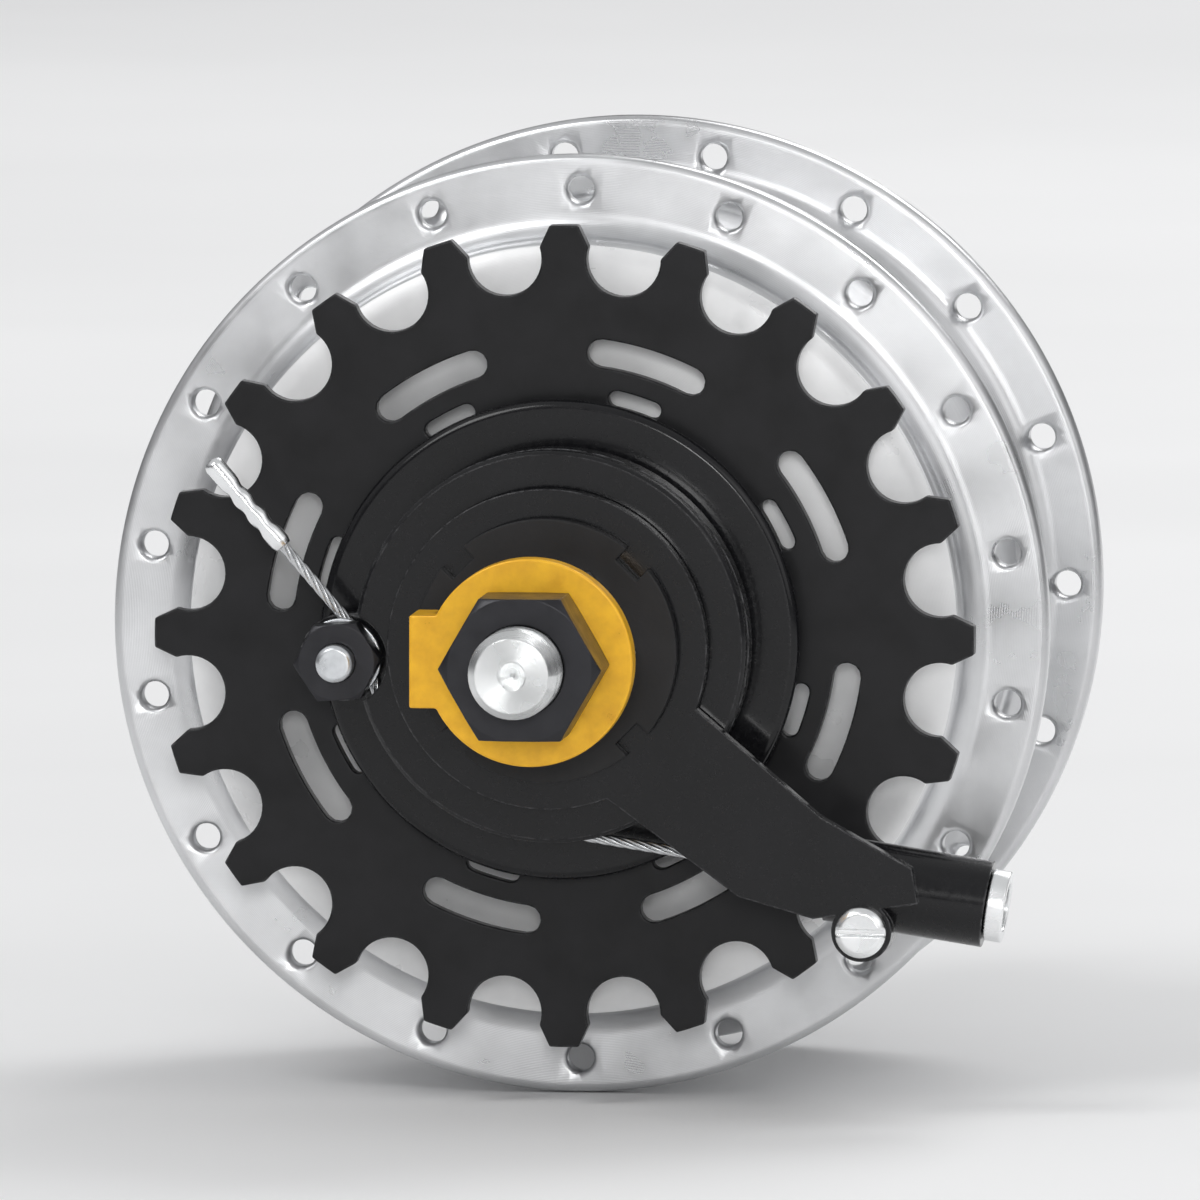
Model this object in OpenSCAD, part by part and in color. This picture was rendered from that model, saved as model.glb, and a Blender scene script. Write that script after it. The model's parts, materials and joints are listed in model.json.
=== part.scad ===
// Internally geared bicycle hub with a cable-shifted pulley on its drive side.
// The axle lies along Y, the drive side faces -Y, +X is the front of the bicycle and +Z is up.
// The origin is on the axle's axis, midway between the two locknut faces.

/* [Axle] */
// Length of the axle, end to end
axle_len = 184; // [176:1:190]
// Diameter of the threaded axle
axle_d = 9.5; // [9.4:0.05:9.6]
// Distance over the two locknut faces
over_locknuts = 132; // [132:1:133]
// Thickness of the frame dropout between locknut and non-turn washer
dropout_gap = 7; // [6:0.5:8]

/* [Shell] */
// Diameter of the circle through the spoke holes
spoke_pcd = 92.6; // [92:0.1:93]
// Number of spoke holes in one flange
spokes_a_flange = 18; // [16:1:20]
// Diameter of a spoke hole
spoke_hole_d = 2.9; // [2.6:0.1:3]
// Distance between the middles of the two flanges
flange_gap = 54.4; // [53:0.1:55]
// Outer diameter of a flange
flange_d = 100; // [99:0.5:104]
// Outer diameter of the shell between the flanges
barrel_d = 84; // [83:0.5:86]

/* [Sprocket] */
// Number of sprocket teeth
sprocket_teeth = 20; // [19:1:22]
// Distance from the hub's middle to the sprocket's middle plane
chain_line = 43; // [42.8:0.1:43.4]
// Thickness of the sprocket
sprocket_t = 2.3; // [2:0.1:2.4]

/* [Planetary gears] */
// Pressure angle of every gear
pressure_angle = 25; // [25:1:26]
// Thinning of each tooth, which leaves the backlash
tooth_thinning = 0.08; // [0.06:0.01:0.12]
// Chords along one tooth flank
flank_steps = 2; // [2:1:5]

/* [Shifter] */
// Angle of the wire anchor at rest, counted from the front of the bicycle
anchor_angle = 184; // [180:1:188]
// Distance from the axle's axis to the wire anchor
anchor_r = 22.4; // [22.2:0.1:22.8]
// Radius of the wire's middle in the pulley groove
groove_r = 19.4; // [19.2:0.1:19.5]
// Downward slope of the casing as it leaves for the front
casing_slope = 9; // [6:1:12]
// Travel of the pulley over its seven clicks
pulley_travel = 77; // [70:1:77]

/* [Hidden] */

$fn = 96;
eps = 0.02;

// Every module below draws along local +Z, which on_axle() turns to point at the drive side.
axle_r = axle_d / 2;
axle_tip = axle_len / 2;
locknut_face = over_locknuts / 2;
washer_face = locknut_face + dropout_gap;
thread_clearance = 0.05;

// Shared running and seating clearances
seat_gap = 0.05;
pin_clearance = 0.05;

// Planetary gears: module 1 mm, planet centres 21 mm out, every sun and ring divisible by three
gear_module = 1;
addendum = 0.9;
dedendum = 1.15;
planet_r = 21;
planet_count = 3;
sun_teeth = [30, 21, 27, 30];
planet_a_teeth = [12, 24];
planet_b_teeth = [12, 15, 21];
ring_1_teeth = 66;
ring_2_teeth = 54;

// Places along the axle, counted from the hub's middle towards the drive side
left_disc = [-40.2, -37.2];
mid_disc = [-13.2, -8.8];
right_disc = [8.3, 11.3];
planet_a_steps = [-8.3, -1, 7.8];
planet_b_steps = [-36.8, -26.2, -20, -13.7];
sun_spans = [[-7.8, -1.5], [-19.5, -14.2], [-25.6, -20.5], [-36.2, -26.8]];
ring_1_span = [-1.3, 15];
ring_2_span = [-36.8, -26.7];
roller_span = [-36.2, -27.2];

// Core of the axle, the shift sleeve round it and the suns round that
core_r = 6;
core_span = [-44, 39.5];
sleeve_r = 7.2;
sleeve_span = [-38, 39];
finger_w = 25;
finger_middle = 40;
finger_angles = [finger_middle, finger_middle + 180];
slot_play = 20;
ratchet_r = [7.4, 8.2];
ratchet_teeth = 12;
pawl_angles = [0, 180];

// Ball bearings: pitch radius, place of the ball plane, ball radius, number of balls, side of the cup
left_bearing = [13.5, -46.8, 2.6, 12, 1];
right_bearing = [28.5, 27.5, 2.4, 24, 1];
driver_bearing = [12, 41, 2, 14, -1];
race_gap = 0.06;

// Planet pins, carrier pillars and rollers
pin_r = 2.5;
pillar_r = 4;
roller_r = 2.05;
roller_circle = 36.1;
roller_count = 9;
lug_count = 9;

// Cassette joint: pulley, bracket and wire
pulley_span = [50.1, 57];
pulley_r = 20.8;
wire_r = 0.6;
wire_z = 54.6;
ear_span = [51, 53.8];
ear_r = 4.6;
bracket_plate = [57.6, 59.6];
bracket_r = 17;
wire_tangent = 270 - casing_slope;
holder_span = [33, 50];
holder_r = 4.6;
ferrule_span = [38.2, 52];
casing_r = 2.55;
tail_angle = 131;
tail_len = 24;
cap_len = 12;

// ---- Shared shapes ----

// Turns local +Z, along which every piece is drawn, to the drive side
module on_axle() rotate([90, 0, 0]) children();

// Solid of revolution with the outline points [radius, place along the axle]
module turned(points) rotate_extrude() polygon(points);

// Plain ring
module ring(r_out, r_in, span)
    turned([[r_in, span[0]], [r_out, span[0]], [r_out, span[1]], [r_in, span[1]]]);

// Prism of a flat shape over a span along the axle
module prism(span) translate([0, 0, span[0]]) linear_extrude(span[1] - span[0]) children();

function polar(r, a) = [r * cos(a), r * sin(a)];
function arc(centre, r, from, to, steps) =
    [for (i = [0:steps]) centre + polar(r, from + (to - from) * i / steps)];

// Curved slot with round ends, w wide and arc_angle long between its end centres
function arc_slot(r, w, middle, arc_angle) =
    let (a0 = middle - arc_angle / 2, a1 = middle + arc_angle / 2)
    concat(
        arc([0, 0], r + w / 2, a0, a1, 8),
        arc(polar(r, a1), w / 2, a1, a1 + 180, 6),
        arc([0, 0], r - w / 2, a1, a0, 8),
        arc(polar(r, a0), w / 2, a0 + 180, a0 + 360, 6)
    );

// Sector of a ring between two angles, in chords of no more than six degrees
function sector(r_in, r_out, from, to) =
    let (steps = ceil((to - from) / 6))
    concat(arc([0, 0], r_out, from, to, steps), arc([0, 0], r_in, to, from, steps));

// Hexagonal prism with turned chamfers and a bore
module hex_nut(across_flats, bore_r, span, chamfer) {
    corner_r = across_flats / 2 / cos(30);
    difference() {
        intersection() {
            translate([0, 0, span[0]]) cylinder(r = corner_r, h = span[1] - span[0], $fn = 6);
            turned([
                [0, span[0]], [corner_r - chamfer, span[0]], [corner_r + eps, span[0] + chamfer * 0.6],
                [corner_r + eps, span[1] - chamfer * 0.6], [corner_r - chamfer, span[1]], [0, span[1]]
            ]);
        }
        translate([0, 0, span[0] - 1]) cylinder(r = bore_r, h = span[1] - span[0] + 2);
    }
}

// ---- Involute gears ----

function involute(a) = tan(a) * 180 / PI - a;
function base_r(teeth) = gear_module * teeth / 2 * cos(pressure_angle);

// Half the angle that a tooth fills at radius r; thinning is negative for the spaces of a ring gear
function half_tooth(teeth, r, thinning) =
    90 / teeth - thinning / (gear_module * teeth) * 180 / PI
    + involute(pressure_angle) - involute(acos(min(1, base_r(teeth) / r)));

// Outline of an external gear, or of the space inside a ring gear, with a tooth at angle 0
function gear_outline(teeth, above, below, thinning) =
    let (
        foot = gear_module * teeth / 2 - below,
        tip = gear_module * teeth / 2 + above,
        start = max(foot, base_r(teeth)),
        radii = [for (k = [0:flank_steps]) start + (tip - start) * k / flank_steps]
    )
    [for (i = [0:teeth - 1], side = [-1, 1], k = [0:flank_steps + 1])
        let (
            middle = 360 * i / teeth,
            step = side < 0 ? k - 1 : flank_steps - k,
            r = step < 0 ? foot : radii[step],
            a = half_tooth(teeth, max(r, base_r(teeth)), thinning)
        )
        if (step >= 0 || foot < start - eps) polar(r, middle + side * a)
    ];

module gear_2d(teeth) polygon(gear_outline(teeth, addendum, dedendum, tooth_thinning));
module ring_space_2d(teeth) polygon(gear_outline(teeth, dedendum, addendum, -tooth_thinning));

// ---- Bearings ----

// Cup outline: race on the outer side of the balls, with a wall beyond them
function cup_race(b) = arc([b[0], b[1]], b[2] + race_gap, 0, 90 * b[4], 6);
function cone_race(b) = arc([b[0], b[1]], b[2] + race_gap, 180, 180 + 90 * b[4], 6);

module balls(b) on_axle()
    for (i = [0:b[3] - 1]) rotate([0, 0, 360 * i / b[3]])
        translate([b[0], 0, b[1]]) sphere(r = b[2], $fn = 48);

// Comb of thin sheet on the open side of the balls, with a round pocket over each ball
module ball_retainer(b) on_axle() {
    near = b[1] - 0.72 * b[2] * b[4];
    far = b[1] - 0.92 * b[2] * b[4];
    difference() {
        ring(b[0] + b[2] - 0.09, b[0] - 0.35 * b[2], [min(near, far), max(near, far)]);
        for (i = [0:b[3] - 1]) rotate([0, 0, 360 * i / b[3]])
            translate([b[0], 0, min(near, far) - 1]) cylinder(r = 0.75 * b[2], h = 0.2 * b[2] + 2);
    }
}

// Helical wire, as a swept tube of round section
module tube(points, r, sides) {
    n = len(points);
    function direction(i) =
        let (d = points[min(i + 1, n - 1)] - points[max(i - 1, 0)]) d / norm(d);
    function ring_points(i) =
        let (t = direction(i), u = cross(t, [0, 0, 1]), u1 = u / norm(u), v = cross(u1, t))
        [for (k = [0:sides - 1]) points[i] + r * (cos(360 * k / sides) * u1 + sin(360 * k / sides) * v)];
    polyhedron(
        points = [for (i = [0:n - 1]) each ring_points(i)],
        faces = concat(
            [[for (k = [0:sides - 1]) k]],
            [for (i = [0:n - 2], k = [0:sides - 1]) let (a = i * sides, k1 = (k + 1) % sides)
                [a + k, a + sides + k, a + sides + k1, a + k1]],
            [[for (k = [sides - 1:-1:0]) (n - 1) * sides + k]]
        )
    );
}
function helix(r, z0, z1, turns, steps) =
    [for (i = [0:steps]) [
        r * cos(360 * turns * i / steps), r * sin(360 * turns * i / steps), z0 + (z1 - z0) * i / steps
    ]];

// ---- Axle and what is fixed to it ----

thread_pitch = 1;
thread_depth = 0.4;
thread_span = [77.5, 91];
thread_count = 13;
flat_half = 4.3;

// One end of the axle's outline, from the core outwards, with thread grooves near the tip
function axle_end(side) = concat(
    [[axle_r, side * (core_span[1] + (side < 0 ? 4.5 : 0))], [axle_r, side * thread_span[0]]],
    [for (i = [0:thread_count - 1], k = [0:1])
        [axle_r - thread_depth * (1 - k), side * (thread_span[0] + thread_pitch * (i + 0.5 + k / 2))]],
    [[axle_r - 0.8, side * axle_tip], [1.5, side * axle_tip], [0, side * (axle_tip - 1.5)]]
);

// Pocket or pawl outlines lie in the same place, so a pawl fits its pocket
pawl_up = [polar(5.4, -12), polar(6.9, -10), polar(7.3, 8), polar(7.8, 24), polar(7.8, 26.5), polar(6.6, 26),
    polar(6.1, 5), polar(5.3, -6)];
pawl_down = [polar(5.3, -12), polar(5.85, -12), polar(5.9, 5), polar(5.85, 24), polar(5.3, 24),
    polar(5.3, 5)];
pawl_pocket = [polar(5, -18), polar(6.8, -18), polar(6.8, 6), polar(6.8, 32), polar(5, 32), polar(5, 6)];
function pawl_span(i) = [sun_spans[i][0] + 1.6, sun_spans[i][1] - 0.5];
function spring_span(i) = [sun_spans[i][0] + 0.5, sun_spans[i][0] + 1.3];

module axle() color("silver") on_axle() difference() {
    turned(concat(
        axle_end(1),
        [for (i = [len(axle_end(-1)) - 1:-1:0]) axle_end(-1)[i]],
        [[core_r, core_span[0]], [core_r, core_span[1]]]
    ));
    for (side = [0, 1], flat = [0, 1]) mirror([0, 0, side]) mirror([0, flat, 0])
        translate([-10, flat_half, washer_face - 0.1]) cube([20, 5, 4.1]);
    for (i = [0:3], a = pawl_angles) rotate([0, 0, a]) prism(pawl_span(i) + [-0.1, 0.1]) polygon(pawl_pocket);
    for (i = [0:3]) ring(core_r + 1, 5.45, spring_span(i) + [-0.1, 0.1]);
}

nut_flats = 15;
nut_span = [76.1, 85];
module axle_nuts() color("black") on_axle() for (side = [0, 1]) mirror([0, 0, side])
    hex_nut(nut_flats, axle_r + thread_clearance, nut_span, 1);

nonturn_t = 3;
nonturn_r = 11;
tab_len = 12.7;
tab_half = 4.9;
module nonturn_washer() {
    difference() {
        union() {
            cylinder(r = nonturn_r, h = nonturn_t);
            translate([-tab_len, -tab_half, 0]) cube([tab_len - 6, 2 * tab_half, nonturn_t]);
            translate([-tab_len, -tab_half, -4.5]) cube([2.4, 2 * tab_half, 5]);
        }
        translate([0, 0, -1]) intersection() {
            cylinder(r = axle_r + 0.1, h = nonturn_t + 2);
            translate([-10, -flat_half - 0.1, 0]) cube([20, 2 * flat_half + 0.2, nonturn_t + 2]);
        }
    }
}
module right_nonturn_washer() color("orange") on_axle() translate([0, 0, washer_face]) nonturn_washer();
module left_nonturn_washer() color("silver") on_axle() mirror([0, 0, 1])
    translate([0, 0, washer_face]) nonturn_washer();

locknut_flats = 17;
module right_locknut() color("silver") on_axle()
    hex_nut(locknut_flats, axle_r + thread_clearance, [61.8, locknut_face], 0.8);
module left_locknut() color("silver") on_axle()
    hex_nut(locknut_flats, axle_r + thread_clearance, [-locknut_face, -59.6], 0.8);

// Serrated washer, sixteen teeth round its rim
module left_lock_washer() color("silver") on_axle() prism([-59.5, -58.1]) difference() {
    polygon([for (i = [0:31]) polar(i % 2 == 0 ? 9.2 : 8.5, 360 * i / 32)]);
    circle(r = axle_r + thread_clearance);
}

cone_bore = axle_r + thread_clearance;
module right_cone() color("lightgray") on_axle() difference() {
    turned(concat(
        [[cone_bore, 39.6], [driver_bearing[0] - driver_bearing[2] - race_gap, 39.6]],
        cone_race(driver_bearing),
        [[12.8, 43.06], [12.8, 45.5], [9, 45.5], [9, 49.8], [cone_bore, 49.8]]
    ));
    for (a = finger_angles) prism([39, 51])
        polygon(sector(5.9, 7.5, a - slot_play, a + pulley_travel + slot_play));
}
module left_cone() color("lightgray") on_axle() turned(concat(
    [[cone_bore, -45.3], [left_bearing[0] - left_bearing[2] - race_gap, -45.3]],
    cone_race(left_bearing),
    [[14.3, -49.46], [14.3, -51.8], [9, -52.4], [9, -58], [cone_bore, -58]]
));

// Dished cover whose lip reaches over the end of the shell
module left_dust_cover() color("dimgray") on_axle() turned([
    [9.05, -53.6], [24.8, -53.6], [24.8, -50], [26.3, -50], [26.3, -54], [25.3, -55.2], [9.05, -55.6]
]);

// ---- Sun gears and their pawls ----

function ratchet() = [for (i = [0:ratchet_teeth - 1], k = [0:2])
    polar(ratchet_r[0] + (ratchet_r[1] - ratchet_r[0]) * k / 2, 360 / ratchet_teeth * i + k * 14)];

// Suns 1 and 4 are locked, with a tooth space towards each planet; suns 2 and 3 mesh tooth to space
module sun_gear(i, turn) on_axle() prism(sun_spans[i]) difference() {
    rotate([0, 0, turn]) gear_2d(sun_teeth[i]);
    polygon(ratchet());
}
module sun_gear_1() color("silver") sun_gear(0, 180 / sun_teeth[0]);
module sun_gear_2() color("silver") sun_gear(1, 0);
module sun_gear_3() color("silver") sun_gear(2, 0);
module sun_gear_4() color("silver") sun_gear(3, 180 / sun_teeth[3]);

// Two pawls under each sun: raised under suns 1 and 4, folded under suns 2 and 3
module sun_pawls() color("gray") on_axle()
    for (i = [0:3], a = pawl_angles) rotate([0, 0, a]) prism(pawl_span(i))
        polygon(i == 0 || i == 3 ? pawl_up : pawl_down);

// Open spring rings beside the pawls
module pawl_springs() color("gray") on_axle()
    for (i = [0:3]) prism(spring_span(i)) polygon(sector(5.5, 5.9, 40, 330));

// ---- Hub shell and what turns with it ----

flange_t = 3.2;
flange_r = flange_d / 2;
barrel_r = barrel_d / 2;
shell_bore = 38.3;
fillet_r = 2.5;
right_flange = [flange_gap / 2 - flange_t / 2, flange_gap / 2 + flange_t / 2];

module hub_shell() color("silver") on_axle() difference() {
    turned(concat(
        [[shell_bore, 34], [barrel_r - 1.5, 34], [barrel_r - 0.5, 33]],
        [[barrel_r - 0.5, right_flange[1]], [flange_r - 0.8, right_flange[1]]],
        [[flange_r, right_flange[1] - 0.8], [flange_r, right_flange[0] + 0.8]],
        [[flange_r - 0.8, right_flange[0]]],
        arc([barrel_r + fillet_r, right_flange[0] - fillet_r], fillet_r, 90, 180, 4),
        arc([barrel_r + fillet_r, -right_flange[0] + fillet_r], fillet_r, 180, 270, 4),
        [[flange_r - 0.8, -right_flange[0]], [flange_r, -right_flange[0] - 0.8]],
        [[flange_r, -right_flange[1] + 0.8], [flange_r - 0.8, -right_flange[1]], [41, -right_flange[1]]],
        arc([33.5, -36.5], 7.5, 0, -60, 5),
        arc([28.75, -51.2], 4.75, 110, 180, 4),
        [[24, -52.5], [20, -52.5], [20, -43.9], [33.5, -41.4], [38.3, -38]]
    ));
    for (side = [-1, 1], i = [0:spokes_a_flange - 1])
        rotate([0, 0, 360 / spokes_a_flange * (i + (side + 1) / 4)])
            translate([spoke_pcd / 2, 0, side * flange_gap / 2 - flange_t])
                cylinder(d = spoke_hole_d, h = 2 * flange_t, $fn = 24);
}

module left_ball_cup() color("lightgray") on_axle() turned(concat(
    [[20, -50], [left_bearing[0] + left_bearing[2] + race_gap, -50]],
    cup_race(left_bearing),
    [[12, -44.14], [12, -42.6], [20, -42.6]]
));
module right_ball_cup() color("lightgray") on_axle() turned(concat(
    [[shell_bore - seat_gap, 24.5], [right_bearing[0] + right_bearing[2] + race_gap, 24.5]],
    cup_race(right_bearing),
    [[26.6, 29.96], [26.6, 33.5], [shell_bore - seat_gap, 33.5]]
));

// Bright pressed cap that closes the drive side of the shell and shows through the sprocket's slots
module shell_dust_cap() color("white") on_axle() turned([
    [27, 34.2], [barrel_r - 1.5, 34.2], [barrel_r - 1, 35.2], [39, 36.2], [30, 37.4], [23.6, 38],
    [23.6, 37.2], [30, 36.6], [38.6, 35.4], [27, 35]
]);

module left_seal() color("black") on_axle() turned([
    [14.6, -52.3], [20, -52.3], [20, -50.3], [17, -50.3], [14.6, -51.2]
]);

module ring_gear_2() color("silver") on_axle() prism(ring_2_span) difference() {
    circle(r = 33.95);
    ring_space_2d(ring_2_teeth);
}

module rollers(r, span) for (i = [0:roller_count - 1]) rotate([0, 0, 360 / roller_count * i])
    translate([roller_circle, 0, span[0]]) cylinder(r = r, h = span[1] - span[0]);

module roller_cage() color("goldenrod") on_axle() difference() {
    ring(38.1, 34.3, [-37.1, -26.3]);
    rollers(roller_r + 0.1, roller_span + [-0.1, 0.1]);
}
module clutch_rollers() color("lightgray") on_axle() rollers(roller_r, roller_span);

// ---- Driver, sprocket and what turns with them ----

driver_flange = [12, 15];
driver_flange_r = 34.9;
lug_w = 6;
seat_r = 17.4;
key_angles = [28, 148, 268];

module lugs(r, w, span) for (i = [0:lug_count - 1]) rotate([0, 0, 360 / lug_count * i])
    translate([30, -w / 2, span[0]]) cube([r - 30, w, span[1] - span[0]]);

module driver() color("silver") on_axle() union() {
    turned(concat(
        [[11.2, driver_flange[0]], [driver_flange_r, driver_flange[0]], [driver_flange_r, driver_flange[1]]],
        [[30, 16.5], [30, 25.04]],
        [for (i = [6:-1:0]) cone_race(right_bearing)[i]],
        [[26.04, 29], [25.8, 33.6], [21, 36.2], [19.5, 38], [19.5, 41.85], [seat_r, 41.85]],
        [[seat_r, 44.3], [16.6, 44.3], [16.6, 45.6], [seat_r, 45.6], [seat_r, 49]],
        [[14.06, 49]],
        cup_race(driver_bearing),
        [[11.2, 38.94]]
    ));
    lugs(36.2, lug_w, driver_flange + [0.3, -0.3]);
    for (a = key_angles) rotate([0, 0, a]) translate([16, -4.5, 41.2]) cube([2.9, 9, 2.9]);
}

tooth_pitch = 12.7;
roller_seat_r = 3.95;
gap_half = 6.2;
sprocket_pitch_r = tooth_pitch / 2 / sin(180 / sprocket_teeth);
sprocket_r = sprocket_pitch_r + 3.1;
sprocket_span = [chain_line - sprocket_t / 2, chain_line + sprocket_t / 2];
slot_count = 8;
slot_first = 28;

module sprocket() color([0.08, 0.08, 0.09]) on_axle() prism(sprocket_span) difference() {
    circle(r = sprocket_r);
    circle(r = seat_r + seat_gap);
    for (i = [0:sprocket_teeth - 1]) rotate([0, 0, 360 / sprocket_teeth * (i + 0.5)]) {
        translate([sprocket_pitch_r, 0]) circle(r = roller_seat_r);
        polygon([
            [sprocket_pitch_r + 0.6, -roller_seat_r + 0.1], [sprocket_r + 1, -gap_half],
            [sprocket_r + 1, gap_half], [sprocket_pitch_r + 0.6, roller_seat_r - 0.1]
        ]);
    }
    for (a = key_angles) rotate([0, 0, a]) translate([15, -4.6]) square([4, 9.2]);
    for (i = [0:slot_count - 1]) {
        polygon(arc_slot(30.4, 3, slot_first + 360 / slot_count * i, 19));
        polygon(arc_slot(25.9, 1.8, slot_first + 360 / slot_count * i, 9));
    }
}

module snap_ring() color("gray") on_axle() prism([44.4, 45.5]) polygon(sector(16.7, 19.4, 100, 420));

module driver_dust_cap() color("black") on_axle() turned([
    [seat_r + seat_gap, 46.2], [24.6, 46.2], [25.5, 47], [25.5, 48], [24.9, 48.6], [19.5, 48.6],
    [19, 48], [seat_r + seat_gap, 48]
]);

module ring_gear_1() color("silver") on_axle() difference() {
    ring(37.6, 30, ring_1_span);
    prism([ring_1_span[0] - 1, 7.61]) ring_space_2d(ring_1_teeth);
    translate([0, 0, 7.6]) cylinder(r = driver_flange_r + 0.1, h = 20);
    lugs(36.4, lug_w + 0.2, [driver_flange[0] - 0.1, 20]);
}

// Toothed clutch ring inside the driver's bore
module clutch_ring() color("silver") on_axle() {
    ring(11.1, 7.6, [17, 21]);
    for (i = [0:5]) rotate([0, 0, 60 * i]) translate([8, -1.2, 15.4]) cube([2.8, 2.4, 1.7]);
}
module clutch_spring() color("gray") on_axle() tube(helix(9.3, 22, 36, 5, 60), 0.6, 6);

// ---- Planet carrier and planets ----

carrier_pillars = [for (i = [0:planet_count - 1]) 60 + 120 * i];

module planet_positions() for (i = [0:planet_count - 1]) rotate([0, 0, 120 * i])
    translate([planet_r, 0, 0]) children();

module disc_with_pins(r, r_in, span) difference() {
    ring(r, r_in, span);
    planet_positions() translate([0, 0, span[0] - 1]) cylinder(r = pin_r, h = span[1] - span[0] + 2);
}

module pillars(span) for (a = carrier_pillars) rotate([0, 0, a])
    translate([21.4, 0, span[0]]) cylinder(r = pillar_r, h = span[1] - span[0]);

module planet_carrier() color("gray") on_axle() union() {
    disc_with_pins(29.8, 9.5, right_disc);
    disc_with_pins(33.8, 9.5, mid_disc);
    pillars([left_disc[1], mid_disc[0] + 1]);
    pillars([mid_disc[1] - 1, right_disc[0] + 1]);
}
module carrier_cover() color("gray") on_axle() disc_with_pins(29.2, 9.5, left_disc);

module planet_pins() color("lightgray") on_axle() planet_positions()
    translate([0, 0, left_disc[0]]) cylinder(r = pin_r, h = right_disc[1] - left_disc[0]);

module planet(index, teeth, steps) on_axle() rotate([0, 0, 120 * index]) translate([planet_r, 0, 0])
    difference() {
        for (k = [0:len(teeth) - 1]) prism([steps[k], steps[k + 1]]) gear_2d(teeth[k]);
        translate([0, 0, steps[0] - 1])
            cylinder(r = pin_r + pin_clearance, h = steps[len(steps) - 1] - steps[0] + 2);
    }
module planet_a_1() color("lightgray") planet(0, planet_a_teeth, planet_a_steps);
module planet_a_2() color("lightgray") planet(1, planet_a_teeth, planet_a_steps);
module planet_a_3() color("lightgray") planet(2, planet_a_teeth, planet_a_steps);
module planet_b_1() color("lightgray") planet(0, planet_b_teeth, planet_b_steps);
module planet_b_2() color("lightgray") planet(1, planet_b_teeth, planet_b_steps);
module planet_b_3() color("lightgray") planet(2, planet_b_teeth, planet_b_steps);

// ---- Ball sets ----

module left_balls() color("silver") balls(left_bearing);
module left_ball_retainer() color("goldenrod") ball_retainer(left_bearing);
module right_balls() color("silver") balls(right_bearing);
module right_ball_retainer() color("goldenrod") ball_retainer(right_bearing);
module driver_balls() color("silver") balls(driver_bearing);
module driver_ball_retainer() color("goldenrod") ball_retainer(driver_bearing);

// ---- Shift mechanism ----

// Tube round the axle's core, with windows over the raised pawls and two fingers through the right cone
module shift_sleeve() color("gray") on_axle() union() {
    difference() {
        ring(sleeve_r, core_r + seat_gap, sleeve_span);
        for (i = [0, 3], a = pawl_angles) rotate([0, 0, a]) prism(pawl_span(i) + [-0.3, 0.3])
            polygon(sector(5.5, 8, -20 - pulley_travel, 36));
    }
    for (a = finger_angles) prism([sleeve_span[1] - 1, 52.4])
        polygon(sector(core_r + 0.2, sleeve_r - 0.1, a - finger_w / 2, a + finger_w / 2));
}

module driver_cap() color("dimgray") on_axle() difference() {
    union() {
        ring(12, 5, [50.1, 52.9]);
        for (i = [0:2]) rotate([0, 0, 120 * i]) translate([11, -2.5, 50.1]) cube([2.6, 5, 2.8]);
    }
    for (a = finger_angles) prism([49, 52.6])
        polygon(sector(5.9, 7.5, a - finger_w / 2 - 1, a + finger_w / 2 + 1));
}

module at_anchor() rotate([0, 0, anchor_angle]) translate([anchor_r, 0, 0]) children();

// Pulley with a wire groove, a spring recess and an ear for the wire anchor
module shift_pulley() color([0.07, 0.07, 0.08]) on_axle() difference() {
    union() {
        turned([
            [10.05, pulley_span[0]], [pulley_r - 0.4, pulley_span[0]], [pulley_r, pulley_span[0] + 0.4],
            [pulley_r, 53.7], [18.7, 53.9], [18.7, 55.3], [pulley_r, 55.5], [pulley_r, pulley_span[1] - 0.4],
            [pulley_r - 0.4, pulley_span[1]], [16, pulley_span[1]], [16, 54.6], [13, 54.6],
            [13, pulley_span[1]], [10.05, pulley_span[1]]
        ]);
        at_anchor() translate([0, 0, ear_span[0]]) cylinder(r = ear_r, h = ear_span[1] - ear_span[0]);
        rotate([0, 0, anchor_angle]) translate([17, -ear_r, ear_span[0]])
            cube([anchor_r - 17, 2 * ear_r, ear_span[1] - ear_span[0] - 0.3]);
    }
    translate([0, 0, pulley_span[0] - 1]) cylinder(r = 12.1, h = 4);
    for (i = [0:2]) rotate([0, 0, 120 * i]) translate([11, -2.6, pulley_span[0] - 1]) cube([2.7, 5.2, 4]);
    at_anchor() translate([0, 0, 49]) cylinder(r = 2.05, h = 6);
    at_anchor() translate([0, 0, 49]) cylinder(r = bolt_head_r + 0.2, h = ear_span[0] - 49);
    at_anchor() translate([0, 0, ear_span[1]]) cylinder(r = 5, h = 5);
}

module return_spring() color("gray") on_axle() tube(helix(14.5, 55.4, 56.9, 1.6, 40), 0.5, 6);

module along_casing() rotate([0, 0, wire_tangent]) translate([groove_r, 0, wire_z])
    rotate([-90, 0, 0]) children();

// Outline of the arm that carries the casing holder, as seen from the drive side
arm_outline = [polar(16, -20), polar(34, -31), polar(45, -30.5), polar(47.5, -34), polar(40, -45),
    polar(33, -52), polar(17, -68), polar(8, -45)];
screw_place = [33.4, -29.6];
screw_seat = bracket_plate[1];

module cable_bracket() color([0.07, 0.07, 0.08]) on_axle() difference() {
    union() {
        ring(10, 4.85, [53.1, bracket_plate[1]]);
        ring(bracket_r, 4.85, bracket_plate);
        prism(bracket_plate) polygon(arm_outline);
        along_casing() translate([0, 0, holder_span[0]])
            cylinder(r = holder_r, h = holder_span[1] - holder_span[0]);
        translate([screw_place[0], screw_place[1], 54]) cylinder(r = 3.2, h = 5.6);
    }
    along_casing() translate([0, 0, ferrule_span[0] - 0.2]) cylinder(r = 3.1, h = 20);
    along_casing() translate([0, 0, holder_span[0] - 3]) cylinder(r = 1, h = 15);
    translate([screw_place[0], screw_place[1], 56]) cylinder(r = 1.3, h = 5);
}

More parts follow.
